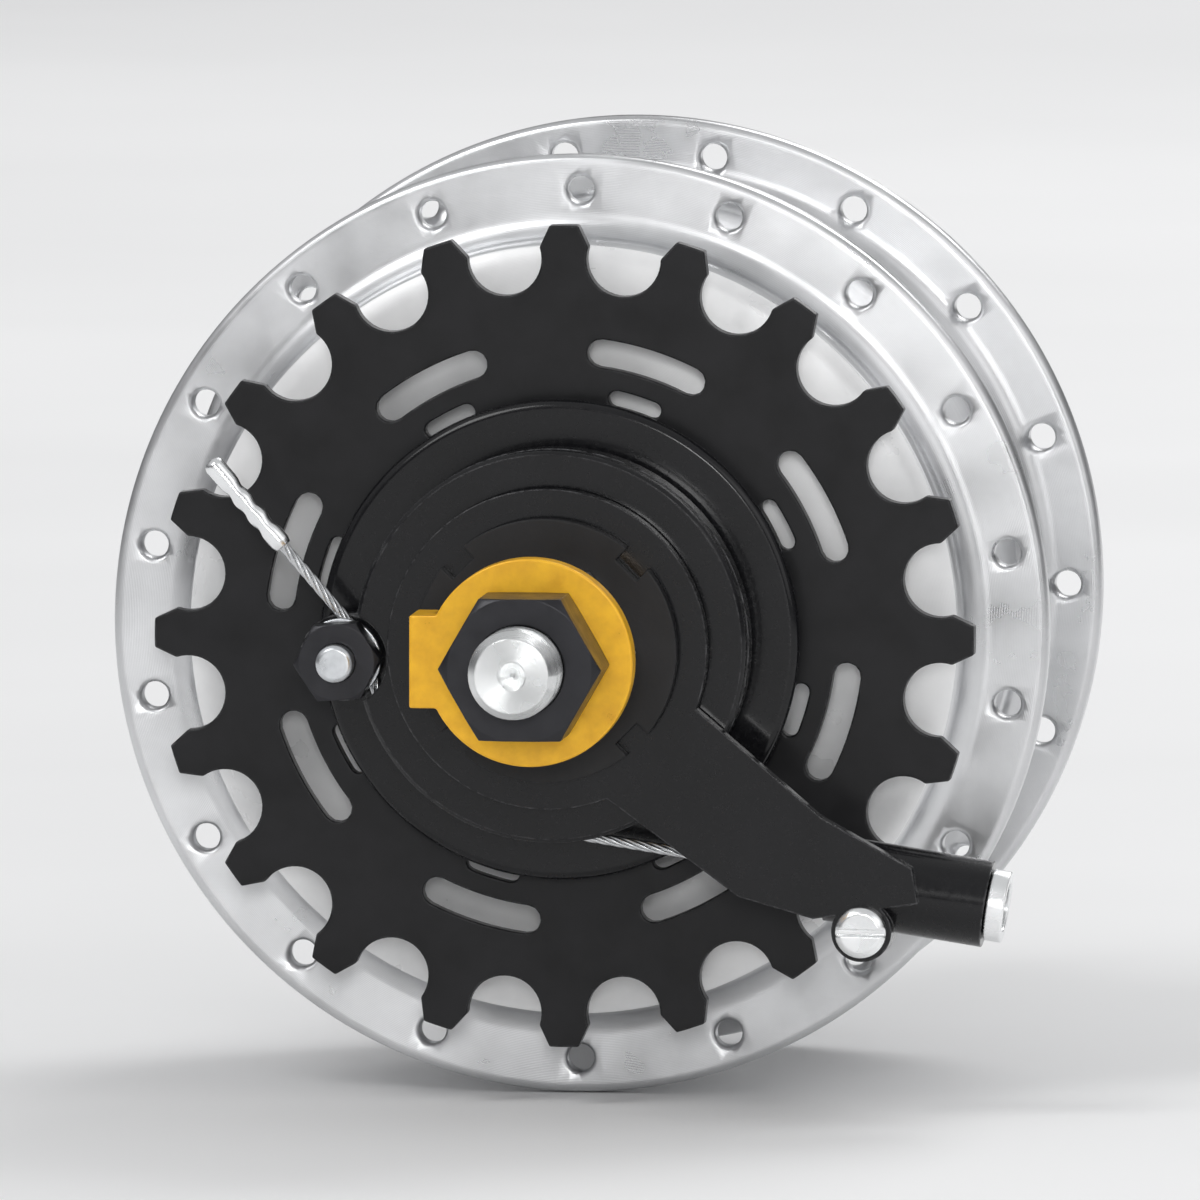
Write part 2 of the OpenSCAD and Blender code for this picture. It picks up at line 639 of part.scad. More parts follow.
// Bright slotted screw in the boss on the arm
module bracket_screw() color("silver") on_axle() translate([screw_place[0], screw_place[1], screw_seat])
    difference() {
        union() {
            cylinder(r = 2.7, h = 1.1);
            translate([0, 0, 1.1]) cylinder(r1 = 2.7, r2 = 2.1, h = 0.5);
            translate([0, 0, -3.4]) cylinder(r = 1.25, h = 3.5);
        }
        translate([-3, -0.35, 0.8]) cube([6, 0.7, 1]);
    }

// Slotted ring that locks the bracket in place
module fixing_ring() color("dimgray") on_axle() prism([59.7, 61.7]) difference() {
    circle(r = 14);
    circle(r = cone_bore);
    for (i = [0:3]) rotate([0, 0, 45 + 90 * i]) translate([12.2, -1.6]) square([4, 3.2]);
}

// Wire anchor on the pulley's ear
bolt_head_r = 3.6;
module anchor_bolt() color("silver") on_axle() at_anchor() union() {
    translate([0, 0, 49.2]) cylinder(r = bolt_head_r, h = ear_span[0] - 49.2, $fn = 6);
    translate([0, 0, 49.3]) cylinder(r = 2, h = 12.7);
    translate([0, 0, 62]) cylinder(r1 = 2, r2 = 1.6, h = 0.4);
}
module anchor_washer() color("silver") on_axle() at_anchor() ring(4.3, 2.05, [55.3, 56.2]);
module anchor_nut() color("dimgray") on_axle() at_anchor() hex_nut(8, 2.05, [56.25, 60.2], 0.6);

// Wire round the groove, past the anchor bolt and out to its crimped cap
bolt_centre = polar(anchor_r, anchor_angle);
bolt_bend_r = anchor_r - groove_r;
tail_start = bolt_centre + polar(bolt_bend_r, tail_angle - 90);
function lift(points) = [for (p = points) [p[0], p[1], wire_z]];
wire_path = concat(
    arc([0, 0], groove_r, wire_tangent - 0.5, anchor_angle, 12),
    [for (i = [1:4]) bolt_centre + polar(bolt_bend_r,
        anchor_angle - 180 + (tail_angle - 90 - anchor_angle + 180) * i / 4)],
    [tail_start + polar(tail_len, tail_angle)]
);
module wire_wrap() color("silver") on_axle() tube(lift(wire_path), wire_r, 8);

// Straight wire from the groove to the ferrule
module wire_run() color("silver") on_axle() along_casing() cylinder(r = wire_r, h = ferrule_span[0] + 0.8);

module wire_end_cap() color("silver") on_axle()
    translate([tail_start[0], tail_start[1], wire_z]) rotate([0, 0, tail_angle]) rotate([0, 90, 0])
        translate([0, 0, tail_len - cap_len + 1]) difference() {
            cylinder(r = 1.1, h = cap_len);
            translate([0, 0, -1]) cylinder(r = wire_r + 0.05, h = cap_len + 0.2);
        }

module casing_ferrule() color("silver") on_axle() along_casing() turned([
    [0.9, ferrule_span[0]], [3.05, ferrule_span[0]], [3.05, holder_span[1] + 0.1],
    [3.8, holder_span[1] + 0.1], [3.8, ferrule_span[1]], [casing_r, ferrule_span[1]],
    [casing_r, ferrule_span[0] + 1.8], [0.9, ferrule_span[0] + 1.8]
]);

axle();
axle_nuts();
right_nonturn_washer();
left_nonturn_washer();
right_locknut();
left_locknut();
left_lock_washer();
right_cone();
left_cone();
left_dust_cover();
sun_gear_1();
sun_gear_2();
sun_gear_3();
sun_gear_4();
sun_pawls();
pawl_springs();
hub_shell();
left_ball_cup();
right_ball_cup();
shell_dust_cap();
left_seal();
ring_gear_2();
roller_cage();
clutch_rollers();
driver();
sprocket();
snap_ring();
driver_dust_cap();
ring_gear_1();
clutch_ring();
clutch_spring();
planet_carrier();
carrier_cover();
planet_pins();
planet_a_1();
planet_a_2();
planet_a_3();
planet_b_1();
planet_b_2();
planet_b_3();
left_balls();
left_ball_retainer();
right_balls();
right_ball_retainer();
driver_balls();
driver_ball_retainer();
shift_sleeve();
driver_cap();
shift_pulley();
return_spring();
cable_bracket();
bracket_screw();
fixing_ring();
anchor_bolt();
anchor_washer();
anchor_nut();
wire_wrap();
wire_run();
wire_end_cap();
casing_ferrule();
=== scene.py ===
"""Looks for the bicycle hub gear: materials, detailed pieces, light, floor and camera."""
import json
import math

import bmesh
import bpy
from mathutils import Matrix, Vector

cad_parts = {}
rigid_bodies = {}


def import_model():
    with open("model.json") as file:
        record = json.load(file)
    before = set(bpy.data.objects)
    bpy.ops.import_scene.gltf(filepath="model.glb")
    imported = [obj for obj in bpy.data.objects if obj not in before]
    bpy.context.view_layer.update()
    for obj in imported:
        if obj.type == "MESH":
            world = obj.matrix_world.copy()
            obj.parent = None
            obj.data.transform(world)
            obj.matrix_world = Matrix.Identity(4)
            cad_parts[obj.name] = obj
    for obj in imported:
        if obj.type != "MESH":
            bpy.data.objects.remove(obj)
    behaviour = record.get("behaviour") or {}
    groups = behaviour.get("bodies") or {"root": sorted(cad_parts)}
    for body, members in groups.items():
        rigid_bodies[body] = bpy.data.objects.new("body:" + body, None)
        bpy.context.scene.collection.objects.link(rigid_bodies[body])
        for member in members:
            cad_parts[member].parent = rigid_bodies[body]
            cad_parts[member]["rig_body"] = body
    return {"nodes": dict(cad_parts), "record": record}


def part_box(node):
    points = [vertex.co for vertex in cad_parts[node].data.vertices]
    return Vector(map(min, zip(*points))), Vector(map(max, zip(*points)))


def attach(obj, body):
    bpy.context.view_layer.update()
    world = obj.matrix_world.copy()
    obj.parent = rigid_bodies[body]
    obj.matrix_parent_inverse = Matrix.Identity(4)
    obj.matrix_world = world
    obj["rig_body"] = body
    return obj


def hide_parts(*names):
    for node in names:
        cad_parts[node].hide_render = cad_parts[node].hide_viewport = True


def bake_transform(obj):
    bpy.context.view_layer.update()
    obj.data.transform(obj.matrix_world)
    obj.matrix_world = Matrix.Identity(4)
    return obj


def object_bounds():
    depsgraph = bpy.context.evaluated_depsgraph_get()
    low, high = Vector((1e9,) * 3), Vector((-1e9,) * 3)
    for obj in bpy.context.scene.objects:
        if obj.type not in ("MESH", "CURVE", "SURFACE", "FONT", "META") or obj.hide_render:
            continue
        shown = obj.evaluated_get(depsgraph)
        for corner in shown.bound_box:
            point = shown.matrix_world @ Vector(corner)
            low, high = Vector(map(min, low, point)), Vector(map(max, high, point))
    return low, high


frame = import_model()
cad_low, cad_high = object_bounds()
NODES = frame["nodes"]
MM = 0.001

# ---- Camera: drive side, slightly from the front and above, through a long lens ----

VIEW_AZIMUTH = math.radians(6.6)
VIEW_ELEVATION = math.radians(5.0)
VIEW_DISTANCE = 4.8
VIEW_WIDTH = 0.128


def add_camera():
    data = bpy.data.cameras.new("camera")
    data.sensor_width = 36
    data.lens = data.sensor_width * VIEW_DISTANCE / VIEW_WIDTH
    data.clip_start, data.clip_end = 0.1, 100
    camera = bpy.data.objects.new("camera", data)
    bpy.context.scene.collection.objects.link(camera)
    back = Vector((
        math.sin(VIEW_AZIMUTH) * math.cos(VIEW_ELEVATION),
        -math.cos(VIEW_AZIMUTH) * math.cos(VIEW_ELEVATION),
        math.sin(VIEW_ELEVATION),
    ))
    flange_low, flange_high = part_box("hub_shell")
    target = (flange_low + flange_high) / 2 + Vector((0, -0.02, 0.001))
    camera.location = target + back * VIEW_DISTANCE
    camera.rotation_mode = "QUATERNION"
    camera.rotation_quaternion = (-back).to_track_quat("-Z", "Y")
    bpy.context.scene.camera = camera


add_camera()

# ---- Material building blocks ----


class Shader:
    """A node material under construction, with short helpers for the nodes it is made of."""

    def __init__(self, name):
        self.material = bpy.data.materials.new(name)
        self.material.use_nodes = True
        self.tree = self.material.node_tree
        self.bsdf = self.tree.nodes["Principled BSDF"]
        self.place = self.node("ShaderNodeTexCoord").outputs["Object"]

    def node(self, kind, **settings):
        made = self.tree.nodes.new(kind)
        for key, value in settings.items():
            setattr(made, key, value)
        return made

    def link(self, source, target):
        self.tree.links.new(source, target)

    def set(self, **values):
        for key, value in values.items():
            self.bsdf.inputs[key.replace("_", " ")].default_value = value

    def stretched(self, scale):
        mapping = self.node("ShaderNodeMapping")
        mapping.inputs["Scale"].default_value = scale
        self.link(self.place, mapping.inputs["Vector"])
        return mapping.outputs["Vector"]

    def noise(self, scale, detail=4, roughness=0.55, vector=None):
        made = self.node("ShaderNodeTexNoise")
        made.inputs["Scale"].default_value = scale
        made.inputs["Detail"].default_value = detail
        made.inputs["Roughness"].default_value = roughness
        self.link(vector or self.place, made.inputs["Vector"])
        return made.outputs["Fac"]

    def grooves(self, scale, kind="RINGS", distortion=0.6):
        """Fine turning marks round the axle, or bands along it."""
        made = self.node("ShaderNodeTexWave", wave_type=kind)
        if kind == "RINGS":
            made.rings_direction = "Y"
        else:
            made.bands_direction = "Y"
        made.inputs["Scale"].default_value = scale
        made.inputs["Distortion"].default_value = distortion
        made.inputs["Detail"].default_value = 2
        made.inputs["Detail Scale"].default_value = 2
        self.link(self.place, made.inputs["Vector"])
        return made.outputs["Fac"]

    def ranged(self, value, low, high, start=0.3, end=0.7):
        made = self.node("ShaderNodeMapRange")
        limits = {"From Min": start, "From Max": end, "To Min": low, "To Max": high}
        for key, number in limits.items():
            made.inputs[key].default_value = number
        self.link(value, made.inputs["Value"])
        return made.outputs["Result"]

    def mixed(self, factor, first, second):
        made = self.node("ShaderNodeMix", data_type="RGBA")
        self.link(factor, made.inputs["Factor"])
        for socket, colour in ((made.inputs[6], first), (made.inputs[7], second)):
            if isinstance(colour, tuple):
                socket.default_value = (*colour, 1)
            else:
                self.link(colour, socket)
        return made.outputs[2]

    def add(self, first, second):
        made = self.node("ShaderNodeMath", operation="ADD")
        self.link(first, made.inputs[0])
        self.link(second, made.inputs[1])
        return made.outputs[0]

    def worn_and_highlit_edges(self, radius):
        """Up to 1 beside sharp edges, where a rounded normal leaves the true one, with noise; it
        marks rubbed edges on paint and painted edge highlights on moulded parts.
        """
        bevel = self.node("ShaderNodeBevel", samples=6)
        bevel.inputs["Radius"].default_value = radius
        facing = self.node("ShaderNodeVectorMath", operation="DOT_PRODUCT")
        self.link(bevel.outputs["Normal"], facing.inputs[0])
        self.link(self.node("ShaderNodeNewGeometry").outputs["Normal"], facing.inputs[1])
        made = self.node("ShaderNodeMath", operation="MULTIPLY")
        self.link(self.ranged(facing.outputs["Value"], 1, 0, 0.8, 0.99), made.inputs[0])
        self.link(self.ranged(self.noise(900, 5, 0.7), 0, 1, 0.42, 0.66), made.inputs[1])
        return made.outputs[0]

    def finish(self, colour, roughness, height, depth, edge=0.0):
        self.link(colour, self.bsdf.inputs["Base Color"])
        self.link(roughness, self.bsdf.inputs["Roughness"])
        bump = self.node("ShaderNodeBump")
        bump.inputs["Distance"].default_value = depth
        bump.inputs["Strength"].default_value = 1
        self.link(height, bump.inputs["Height"])
        if edge:
            bevel = self.node("ShaderNodeBevel", samples=6)
            bevel.inputs["Radius"].default_value = edge
            self.link(bevel.outputs["Normal"], bump.inputs["Normal"])
        self.link(bump.outputs["Normal"], self.bsdf.inputs["Normal"])
        return self.material


def scaled(colour, factor):
    return tuple(min(1.0, channel * factor) for channel in colour)


def turned_metal(
    name, colour, roughness, groove_scale=2600, depth=0.000004, edge=0.00025, metallic=1.0
):
    """Machined steel or aluminium with faint concentric marks, smudges and fine scratches."""
    s = Shader(name)
    s.set(Metallic=metallic)
    smudge = s.noise(90, 5)
    marks = s.grooves(groove_scale)
    scratches = s.noise(1500, 2, 0.5, s.stretched((0.15, 1.0, 0.15)))
    tint = s.mixed(s.ranged(smudge, 0, 1), scaled(colour, 0.86), scaled(colour, 1.06))
    polish = s.add(
        s.ranged(smudge, roughness - 0.06, roughness + 0.08),
        s.ranged(scratches, 0, 0.08, 0.45, 0.75),
    )
    return s.finish(tint, polish, s.add(marks, scratches), depth, edge)


def plated_metal(name, colour, roughness, metallic=1.0, depth=0.000004, edge=0.0002):
    """Plated or hardened steel with a soft mottle and no turning marks."""
    s = Shader(name)
    s.set(Metallic=metallic)
    mottle = s.noise(420, 5, 0.6)
    grain = s.noise(5200, 3, 0.6)
    tint = s.mixed(s.ranged(mottle, 0, 1), scaled(colour, 0.82), scaled(colour, 1.1))
    polish = s.ranged(mottle, roughness - 0.06, roughness + 0.1)
    return s.finish(tint, polish, s.add(mottle, grain), depth, edge)


def black_paint(name, colour, roughness, edge_wear_and_highlight_colour=(0.3, 0.3, 0.31), edge=0.0003):
    """Black coated metal whose convex edges are rubbed a little brighter."""
    s = Shader(name)
    s.set(Metallic=0.0, Coat_Weight=0.12, Coat_Roughness=0.2, Specular_IOR_Level=0.22)
    cloud = s.noise(160, 5)
    grain = s.noise(3600, 3, 0.65)
    worn = s.worn_and_highlit_edges(edge)
    tint = s.mixed(s.ranged(cloud, 0, 1), scaled(colour, 0.7), scaled(colour, 1.5))
    return s.finish(
        s.mixed(worn, tint, edge_wear_and_highlight_colour), s.ranged(cloud, roughness - 0.05, roughness + 0.12),
        grain, 0.000008, edge,
    )


def moulded(
    name, colour, roughness, coat, grain_scale=2600, depth=0.00001, edge=0.0003, specular=0.5,
    edge_wear_and_highlight_colour=None,
):
    """Moulded plastic or rubber with a fine grain, and paler edges, which are a painted highlight,
    if an edge colour is given.
    """
    s = Shader(name)
    s.set(Metallic=0.0, Coat_Weight=coat, Coat_Roughness=0.1, Specular_IOR_Level=specular)
    cloud = s.noise(120, 4)
    grain = s.noise(grain_scale, 4, 0.6)
    tint = s.mixed(s.ranged(cloud, 0, 1), scaled(colour, 0.75), scaled(colour, 1.4))
    # Paler edges here are a painted highlight on the rims, not wear.
    if edge_wear_and_highlight_colour:
        tint = s.mixed(s.worn_and_highlit_edges(edge), tint, edge_wear_and_highlight_colour)
    return s.finish(tint, s.ranged(grain, roughness - 0.06, roughness + 0.1), grain, depth, edge)


MATERIALS = {
    "axle_steel": turned_metal("axle_steel", (0.78, 0.79, 0.79), 0.24, 3400),
    "black_nut": plated_metal("black_nut", (0.028, 0.028, 0.032), 0.34, metallic=0.55),
    "gold_washer": plated_metal("gold_washer", (1.0, 0.50, 0.018), 0.33, metallic=0.2),
    "zinc_steel": plated_metal("zinc_steel", (0.68, 0.7, 0.72), 0.28),
    "bearing_steel": turned_metal("bearing_steel", (0.66, 0.66, 0.67), 0.16, 3000),
    "black_plastic": moulded("black_plastic", (0.012, 0.012, 0.013), 0.42, 0.0, specular=0.3),
    "gear_steel": plated_metal("gear_steel", (0.42, 0.42, 0.43), 0.32),
    "spring_steel": plated_metal("spring_steel", (0.33, 0.33, 0.35), 0.3),
    "shell_aluminium": turned_metal(
        "shell_aluminium", (0.70, 0.705, 0.715), 0.3, 1800, 0.000006, 0.0004
    ),
    "bright_cap": turned_metal("bright_cap", (0.93, 0.94, 0.95), 0.2, 2200),
    # A near-white, barely metallic copy of bright_cap: its paleness paints in the bright reflection
    # of the dust cap seen through the sprocket slots.
    "cap_painted_bright": turned_metal("cap_painted_bright", (0.97, 0.975, 0.98), 0.3, 2200, metallic=0.15),
    "seal_rubber": moulded("seal_rubber", (0.02, 0.02, 0.02), 0.66, 0.0),
    "brass_cage": plated_metal("brass_cage", (0.78, 0.56, 0.24), 0.3),
    "black_sprocket": black_paint("black_sprocket", (0.008, 0.008, 0.009), 0.34),
    # The pale edges given to gloss_black are a painted highlight: thin bright arcs on the disc
    # rims.
    "gloss_black": moulded(
        "gloss_black", (0.004, 0.004, 0.005), 0.22, 0.35, 1400, 0.0000012, specular=0.2,
        edge_wear_and_highlight_colour=(0.22, 0.22, 0.23),
    ),
    "wire_steel": plated_metal("wire_steel", (0.62, 0.63, 0.64), 0.26, 1.0, 0.000002, 0.0),
}


def dress(piece, slot, node):
    """Gives a CAD node, or its stand-in, its slot's material, or for the dust cap a near-white copy
    whose paleness is a painted reflection.
    """
    material = MATERIALS["cap_painted_bright" if node == "shell_dust_cap" else slot]
    if piece.material_slots:
        for held in piece.material_slots:
            held.material = material
    else:
        piece.data.materials.append(material)


for entry in frame["record"]["subparts"]:
    dress(NODES[entry["node"]], entry["material_slot"], entry["node"])

# ---- Mesh building blocks: outlines are (radius, place towards the drive side) in millimetres ----

WELD_NEW, WELD_CAD = 1e-7, 2e-6
FLAT_ANGLE = 0.002


def rounded(outline, radius, steps=5):
    """The closed outline with each corner drawn as a short curve of about that radius."""
    result = []
    count = len(outline)
    for i, corner in enumerate(outline):
        corner = Vector(corner)
        before = Vector(outline[i - 1]) - corner
        after = Vector(outline[(i + 1) % count]) - corner
        reach_in = min(radius, before.length * 0.45)
        reach_out = min(radius, after.length * 0.45)
        start = corner + before.normalized() * reach_in
        end = corner + after.normalized() * reach_out
        for k in range(steps + 1):
            t = k / steps
            result.append((1 - t) ** 2 * start + 2 * t * (1 - t) * corner + t ** 2 * end)
    return result


def new_piece(name, build, smooth_angle=0.6):
    """A mesh piece from a bmesh, smooth shaded but for edges sharper than smooth_angle."""
    bmesh.ops.remove_doubles(build, verts=build.verts, dist=WELD_NEW)
    bmesh.ops.recalc_face_normals(build, faces=build.faces)
    for face in build.faces:
        face.smooth = True
    for edge in build.edges:
        if len(edge.link_faces) == 2 and edge.calc_face_angle(0) > smooth_angle:
            edge.smooth = False
    mesh = bpy.data.meshes.new(name)
    build.to_mesh(mesh)
    build.free()
    piece = bpy.data.objects.new(name, mesh)
    bpy.context.scene.collection.objects.link(piece)
    return piece


def lathe_mesh(build, outline, segments=240):
    """Turns a closed outline round the axle and adds it to the bmesh."""
    rings = []
    for i in range(segments):
        a = 2 * math.pi * i / segments
        rings.append([
            build.verts.new((r * math.cos(a) * MM, -along * MM, r * math.sin(a) * MM))
            for r, along in outline
        ])
    for i in range(segments):
        here, there = rings[i], rings[(i + 1) % segments]
        for k in range(len(outline)):
            n = (k + 1) % len(outline)
            build.faces.new((here[k], here[n], there[n], there[k]))


def skin(build, rings):
    """Joins each ring of vertices to the next one."""
    for lower, upper in zip(rings, rings[1:]):
        for k in range(len(lower)):
            n = (k + 1) % len(lower)
            build.faces.new((lower[k], lower[n], upper[n], upper[k]))


def evaluated_mesh(piece):
    """A mesh of the piece as its modifiers or its curve settings make it."""
    bpy.context.view_layer.update()
    evaluated = piece.evaluated_get(bpy.context.evaluated_depsgraph_get())
    return bpy.data.meshes.new_from_object(evaluated)


def apply_modifiers(piece):
    """Applies the piece's modifiers, and lets its large faces set the normals at their corners."""
    weighted = piece.modifiers.new("normals", "WEIGHTED_NORMAL")
    weighted.mode, weighted.weight = "FACE_AREA", 100
    applied = evaluated_mesh(piece)
    piece.modifiers.clear()
    piece.data = applied


def soften(node, width, segments=2, sharp=0.5):
    """Stands a copy in for a CAD node, its sharp edges rounded by that many millimetres."""
    build = bmesh.new()
    build.from_mesh(NODES[node].data)
    bmesh.ops.remove_doubles(build, verts=build.verts, dist=WELD_CAD)
    bmesh.ops.dissolve_limit(
        build, angle_limit=FLAT_ANGLE, use_dissolve_boundaries=False,
        verts=build.verts, edges=build.edges,
    )
    piece = new_piece(node + "_rounded", build, math.pi)
    bevel = piece.modifiers.new("edges", "BEVEL")
    bevel.width, bevel.segments = width * MM, segments
    bevel.limit_method, bevel.angle_limit = "ANGLE", sharp
    bevel.use_clamp_overlap = True
    apply_modifiers(piece)
    stand_for(piece, node)


def as_mesh(name, curve):
    """The curve's tubes as a plain mesh piece."""
    drawn = bpy.data.objects.new(name + "_curve", curve)
    bpy.context.scene.collection.objects.link(drawn)
    mesh = evaluated_mesh(drawn)
    bpy.data.objects.remove(drawn)
    for polygon in mesh.polygons:
        polygon.use_smooth = True
    piece = bpy.data.objects.new(name, mesh)
    bpy.context.scene.collection.objects.link(piece)
    return piece


def stand_for(piece, node, bend=None):
    """Replaces a CAD node with the piece, which rides on the node's body, or, if bend is given,
    stays baked in place on no body.
    """
    subparts = frame["record"]["subparts"]
    slot = next(entry["material_slot"] for entry in subparts if entry["node"] == node)
    if bend:
        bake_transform(piece)
    else:
        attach(piece, NODES[node]["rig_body"])
    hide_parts(node)
    dress(piece, slot, node)


# ---- Hub shell: one turned casting with filleted flanges and countersunk spoke holes ----

FLANGE_MIDDLE, FLANGE_HALF = 27.2, 1.6
FLANGE_R, BARREL_R = 50.0, 42.0
SPOKE_CIRCLE_R, SPOKE_HOLE_R, SPOKES_A_FLANGE = 46.3, 1.45, 18
SHELL_FILLET = 1.0
CUTTER_SIDES, HOLE_FLARE = 24, 0.45


def shell_outline():
    inner, outer = FLANGE_MIDDLE - FLANGE_HALF, FLANGE_MIDDLE + FLANGE_HALF
    bead = 3.2
    flange_foot = BARREL_R + 2.4
    return [
        (38.3, 34.0), (40.5, 34.0), (41.4, 33.1), (41.4, outer + 1.6), (flange_foot - 1.4, outer),
        (FLANGE_R, outer), (FLANGE_R, inner), (flange_foot, inner), (BARREL_R, inner - 2.4),
        (BARREL_R, inner - bead - 2), (BARREL_R - 0.5, inner - bead - 2.5),
        (BARREL_R - 0.5, -inner + bead + 2.5), (BARREL_R, -inner + bead + 2),
        (BARREL_R, -inner + 2.4), (flange_foot, -inner), (FLANGE_R, -inner), (FLANGE_R, -outer),
        (flange_foot - 1.8, -outer), (41.0, -outer - 1.6), (41.0, -36.4), (39.6, -40.6),
        (36.2, -43.2), (27.4, -46.3), (25.0, -47.4), (24.0, -49.0), (24.0, -52.5), (20.0, -52.5),
        (20.0, -43.9), (33.5, -41.4), (38.3, -38.0),
    ]


def add_hole_cutter(build, angle, middle):
    """A spoke-hole cutter with a cone at each face of the flange."""
    profile = [
        (SPOKE_HOLE_R + HOLE_FLARE + 1, -FLANGE_HALF - 1),
        (SPOKE_HOLE_R, -FLANGE_HALF + HOLE_FLARE),
        (SPOKE_HOLE_R, FLANGE_HALF - HOLE_FLARE),
        (SPOKE_HOLE_R + HOLE_FLARE + 1, FLANGE_HALF + 1),
    ]
    centre = Vector((SPOKE_CIRCLE_R * math.cos(angle), -middle, SPOKE_CIRCLE_R * math.sin(angle)))
    turns = [2 * math.pi * k / CUTTER_SIDES for k in range(CUTTER_SIDES)]
    rings = [
        [
            build.verts.new((centre + Vector((r * math.cos(a), -along, r * math.sin(a)))) * MM)
            for a in turns
        ]
        for r, along in profile
    ]
    skin(build, rings)
    build.faces.new(rings[0])
    build.faces.new(rings[-1])


def add_hub_shell():
    body = bmesh.new()
    lathe_mesh(body, rounded(shell_outline(), SHELL_FILLET))
    shell = new_piece("hub_shell_turned", body)
    holes = bmesh.new()
    for side in (-1, 1):
        for i in range(SPOKES_A_FLANGE):
            angle = 2 * math.pi / SPOKES_A_FLANGE * (i + (side + 1) / 4)
            add_hole_cutter(holes, angle, side * FLANGE_MIDDLE)
    cutter = new_piece("spoke_hole_cutter", holes)
    cut = shell.modifiers.new("holes", "BOOLEAN")
    cut.operation, cut.solver, cut.object = "DIFFERENCE", "EXACT", cutter
    apply_modifiers(shell)
    bpy.data.objects.remove(cutter)
    stand_for(shell, "hub_shell")


add_hub_shell()

# ---- Shift wire: seven strands from the casing, round the groove and past the anchor bolt ----

WIRE_Z = 54.6
WIRE_STRAND_R = 0.2
STRAND_LAY = 9.0
GROOVE_R, ANCHOR_R, ANCHOR_ANGLE = 19.4, 22.4, 184
WIRE_TANGENT_ANGLE, TAIL_ANGLE, TAIL_LENGTH = 261, 131, 24
FERRULE_START = 38.2
CAP_LENGTH, CAP_R = 12.0, 1.1
# Shares of the cap's length, and of its radius for the two depths
CAP_ROUND_FROM, CAP_ROUND_LENGTH = 0.93, 0.07
CAP_MOUTH_LENGTH, CAP_MOUTH_DEPTH = 0.05, 0.18
PINCHES, PINCH_WIDTH, PINCH_DEPTH = (0.25, 0.45, 0.65), 0.055, 0.22


def around(r, degrees):
    a = math.radians(degrees)
    return Vector((r * math.cos(a), r * math.sin(a)))


def swing(centre, r, start, end, steps):
    return [centre + around(r, start + (end - start) * i / steps) for i in range(steps + 1)]


def tail_base():
    return around(ANCHOR_R, ANCHOR_ANGLE) + around(ANCHOR_R - GROOVE_R, TAIL_ANGLE - 90)


def wrapped_route():
    bolt = around(ANCHOR_R, ANCHOR_ANGLE)
    bend = swing(bolt, ANCHOR_R - GROOVE_R, ANCHOR_ANGLE - 180, TAIL_ANGLE - 90, 12)
    tail = [tail_base() + around(TAIL_LENGTH * i / 20, TAIL_ANGLE) for i in range(1, 20)]
    return swing(Vector((0, 0)), GROOVE_R, WIRE_TANGENT_ANGLE, ANCHOR_ANGLE, 60) + bend[1:] + tail


def straight_route():
    start = around(GROOVE_R, WIRE_TANGENT_ANGLE)
    length, heading = FERRULE_START + 0.8, WIRE_TANGENT_ANGLE + 90
    return [start + around(length * i / 40, heading) for i in range(41)]


def add_strands(name, route, node, bend=None):
    """Six strands laid round a middle one along a flat route."""
    curve = bpy.data.curves.new(name, "CURVE")
    curve.dimensions = "3D"
    curve.bevel_depth = WIRE_STRAND_R * MM
    curve.bevel_resolution = 3
    curve.use_fill_caps = True
    for strand in range(7):
        spline = curve.splines.new("POLY")
        spline.points.add(len(route) * 3 - 3)
        travelled = 0.0
        for i in range(len(route) * 3 - 2):
            k, part = divmod(i, 3)
            here = route[k] if part == 0 else route[k].lerp(route[k + 1], part / 3)
            ahead = (route[min(k + 1, len(route) - 1)] - route[max(k - 1, 0)]).normalized()
            side = Vector((-ahead.y, ahead.x))
            turn = 2 * math.pi * (travelled / STRAND_LAY + strand / 6)
            out = 0.0 if strand == 6 else 2 * WIRE_STRAND_R * 0.98
            flat = here + side * math.cos(turn) * out
            along = WIRE_Z + math.sin(turn) * out
            spline.points[i].co = (flat.x * MM, -along * MM, flat.y * MM, 1)
            step = (route[min(k + 1, len(route) - 1)] - route[k]).length / 3
            travelled += step
    stand_for(as_mesh(name, curve), node, bend)


def add_wire_end_cap():
    """Crimped end cap: a rounded tube pinched flat at three places."""
    build = bmesh.new()
    sides, steps = 32, 60
    ahead = around(1, TAIL_ANGLE)
    start = tail_base() + around(TAIL_LENGTH - CAP_LENGTH + 1, TAIL_ANGLE)
    side = Vector((-ahead.y, ahead.x))
    rings = []
    for i in range(steps + 1):
        t = i / steps
        past = max(0.0, (t - CAP_ROUND_FROM) / CAP_ROUND_LENGTH)
        end_round = math.sqrt(max(0.0, 1 - past ** 2))
        mouth = 1 - CAP_MOUTH_DEPTH * max(0.0, 1 - t / CAP_MOUTH_LENGTH)
        pinch = max(math.exp(-((t - at) / PINCH_WIDTH) ** 2) for at in PINCHES)
        ring = []
        for k in range(sides):
            a = 2 * math.pi * k / sides
            r = CAP_R * end_round * mouth * (1 - PINCH_DEPTH * pinch * abs(math.cos(a)) ** 1.5)
            flat = start + ahead * CAP_LENGTH * t + side * r * math.cos(a)
            along = WIRE_Z + r * math.sin(a)
            ring.append(build.verts.new((flat.x * MM, -along * MM, flat.y * MM)))
        rings.append(ring)
    skin(build, rings)
    build.faces.new(rings[0])
    stand_for(new_piece("wire_end_cap_crimped", build), "wire_end_cap")


def in_frame(flat):
    return flat.x * MM, -WIRE_Z * MM, flat.y * MM


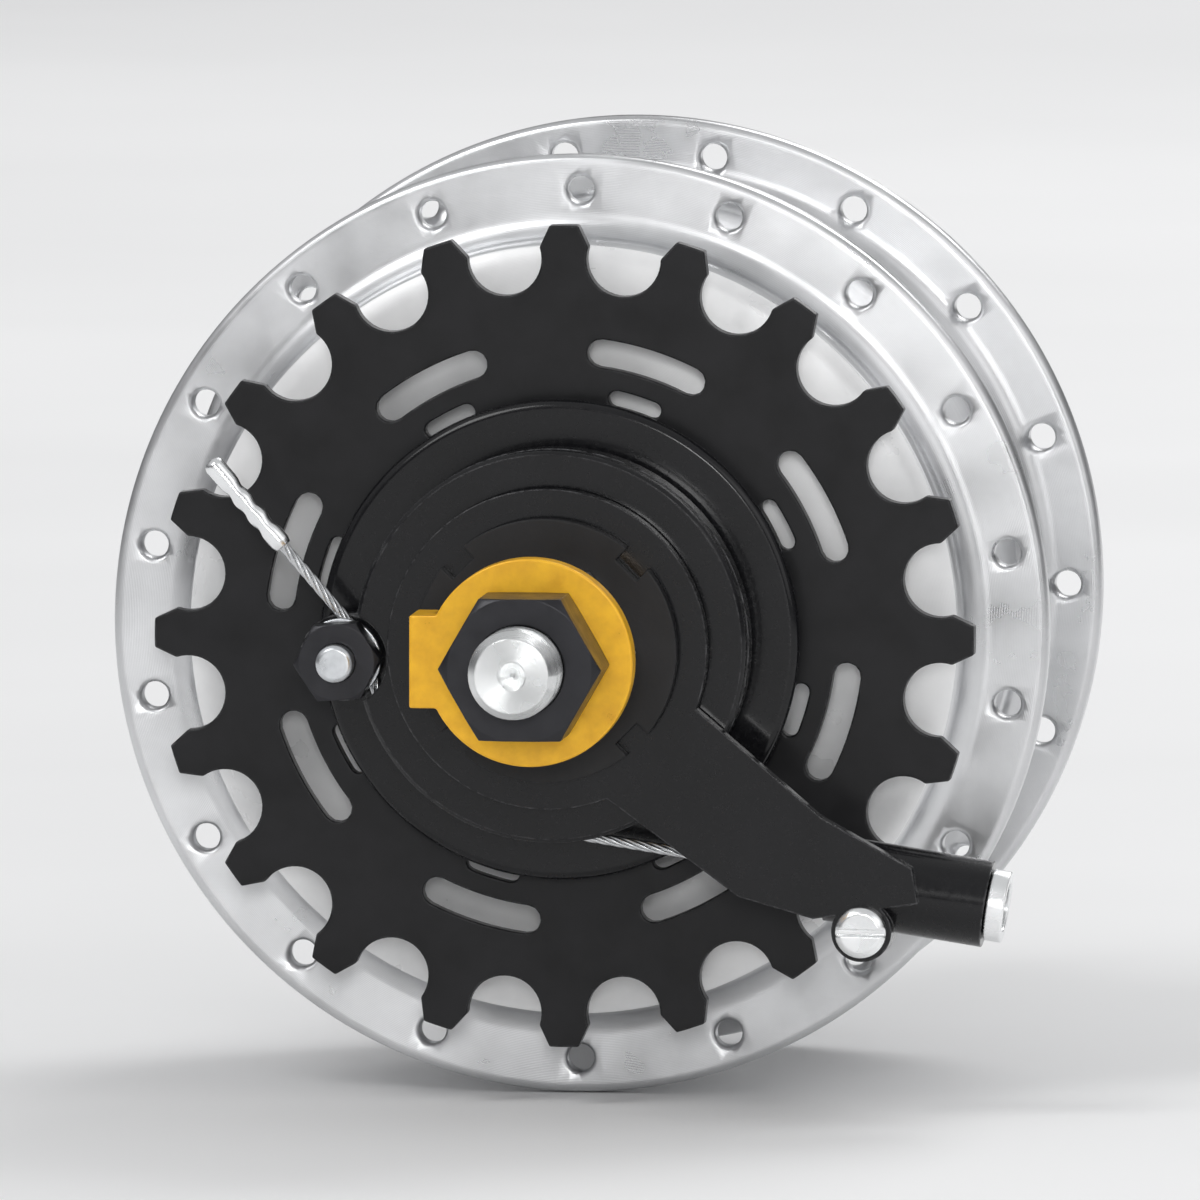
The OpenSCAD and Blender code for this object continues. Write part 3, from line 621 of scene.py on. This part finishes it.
# As the pulley turns, the wire in its groove shortens between the tangent point, which stays put,
# and the anchor
GROOVE_BEND = (
    "axle_assembly", "shifter",
    in_frame(around(GROOVE_R, WIRE_TANGENT_ANGLE)), in_frame(around(GROOVE_R, ANCHOR_ANGLE)),
)
add_strands("wire_wrap_strands", wrapped_route(), "wire_wrap", GROOVE_BEND)
add_strands("wire_run_strands", straight_route(), "wire_run")
add_wire_end_cap()

# ---- Outer CAD pieces with their edges rounded, so that they catch the light ----

ROUNDED_EDGES = {
    "axle_nuts": 0.25, "bracket_screw": 0.12,
    "right_nonturn_washer": 0.3, "left_nonturn_washer": 0.3,
    "right_locknut": 0.2, "left_locknut": 0.2, "sprocket": 0.3, "driver_dust_cap": 0.3,
    "shift_pulley": 0.25, "cable_bracket": 0.45, "fixing_ring": 0.25, "anchor_nut": 0.18,
    "anchor_washer": 0.12, "anchor_bolt": 0.12, "left_dust_cover": 0.4, "snap_ring": 0.15,
    "casing_ferrule": 0.15, "shell_dust_cap": 0.12, "driver_cap": 0.2,
}
for node_name, edge_width in ROUNDED_EDGES.items():
    soften(node_name, edge_width)

# ---- Floor, light and background ----

FLOOR_SIZE = 60


def add_floor():
    bpy.ops.mesh.primitive_plane_add(size=FLOOR_SIZE, location=(0, 0, cad_low.z - 0.0001))
    floor = bpy.context.object
    floor.name = "floor"
    s = Shader("floor")
    s.set(Metallic=0.0)
    cloud = s.noise(3, 4)
    tint = s.mixed(s.ranged(cloud, 0, 1), (0.90, 0.90, 0.90), (0.93, 0.93, 0.93))
    sheen = s.ranged(cloud, 0.5, 0.62)
    floor.data.materials.append(s.finish(tint, sheen, s.noise(800), 0.00002))


def add_light(name, place, size, power):
    data = bpy.data.lights.new(name, "AREA")
    data.size = size
    data.energy = power
    lamp = bpy.data.objects.new(name, data)
    bpy.context.scene.collection.objects.link(lamp)
    lamp.location = place
    lamp.rotation_mode = "QUATERNION"
    lamp.rotation_quaternion = (-Vector(place)).to_track_quat("-Z", "Y")


def add_world():
    world = bpy.data.worlds.new("studio")
    world.use_nodes = True
    tree = world.node_tree
    background = tree.nodes["Background"]
    coordinates = tree.nodes.new("ShaderNodeTexCoord")
    split = tree.nodes.new("ShaderNodeSeparateXYZ")
    ramp = tree.nodes.new("ShaderNodeValToRGB")
    tree.links.new(coordinates.outputs["Generated"], split.inputs[0])
    tree.links.new(split.outputs["Z"], ramp.inputs[0])
    tree.links.new(ramp.outputs["Color"], background.inputs["Color"])
    below, above = ramp.color_ramp.elements
    below.position, below.color = 0.0, (0.30, 0.31, 0.32, 1)
    above.position, above.color = 0.9, (0.95, 0.96, 0.97, 1)
    for position, grey in ((0.12, 0.22), (0.3, 0.42), (0.5, 0.85)):
        stop = ramp.color_ramp.elements.new(position)
        stop.color = (grey, grey, grey * 1.02, 1)
    background.inputs["Strength"].default_value = 0.62
    bpy.context.scene.world = world


add_floor()
add_world()
add_light("key", (-0.9, -1.3, 1.5), 0.9, 13)
add_light("fill", (1.3, -1.0, 0.7), 1.2, 4)
add_light("back", (0.5, 1.4, 1.2), 0.9, 12)
add_light("front", (0.35, -3.2, 0.6), 0.5, 15)
bpy.context.scene.view_settings.view_transform = "Standard"
